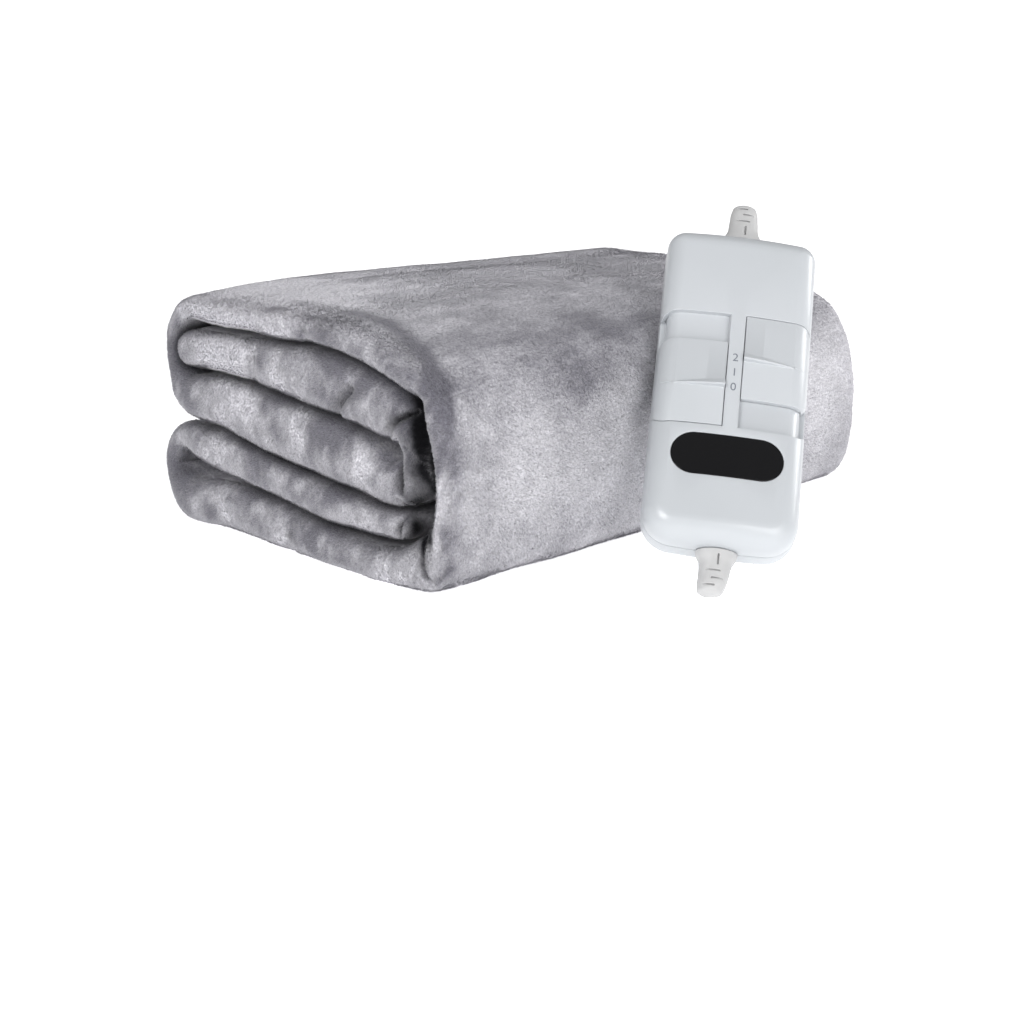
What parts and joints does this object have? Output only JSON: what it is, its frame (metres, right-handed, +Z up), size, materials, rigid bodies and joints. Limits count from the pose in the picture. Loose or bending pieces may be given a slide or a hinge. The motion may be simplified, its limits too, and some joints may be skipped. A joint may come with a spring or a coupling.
{
  "type": "folded electric heated blanket with hand controller",
  "caption": "Plush electric blanket folded back and forth into a wrapped pack, with a white hand controller leaning on its long side; the controller has two slide switches and a display.",
  "frame": {"origin": "middle of the pack's underside, on the surface it lies on", "axes": "+Z up; X along the folds, with the end that shows the folded layers at -X; the long side that the outer layer wraps faces -Y, and the controller leans on it"},
  "size_m": [0.2996, 0.3073, 0.1556],
  "materials": {
    "grey_plush": "brushed plush pile",
    "white_abs": "satin moulded",
    "white_soft_pvc": "soft satin",
    "black_window": "polished"
  },
  "bodies": {
    "blanket_and_case": {"folded_blanket": "grey_plush", "controller_front": "white_abs", "controller_back": "white_abs", "display_window": "black_window", "strain_relief_top": "white_soft_pvc", "strain_relief_foot": "white_soft_pvc"},
    "left_switch": {"slider_left": "white_abs"},
    "right_switch": {"slider_right": "white_abs"}
  },
  "joints": [
    {"name": "left_switch_slide", "type": "slide", "parent": "blanket_and_case", "child": "left_switch", "axis": [0.5446, 0.4057, 0.734], "range_m": [0, 0.015]},
    {"name": "right_switch_slide", "type": "slide", "parent": "blanket_and_case", "child": "right_switch", "axis": [-0.5446, -0.4057, -0.734], "range_m": [0, 0.015]}
  ]
}
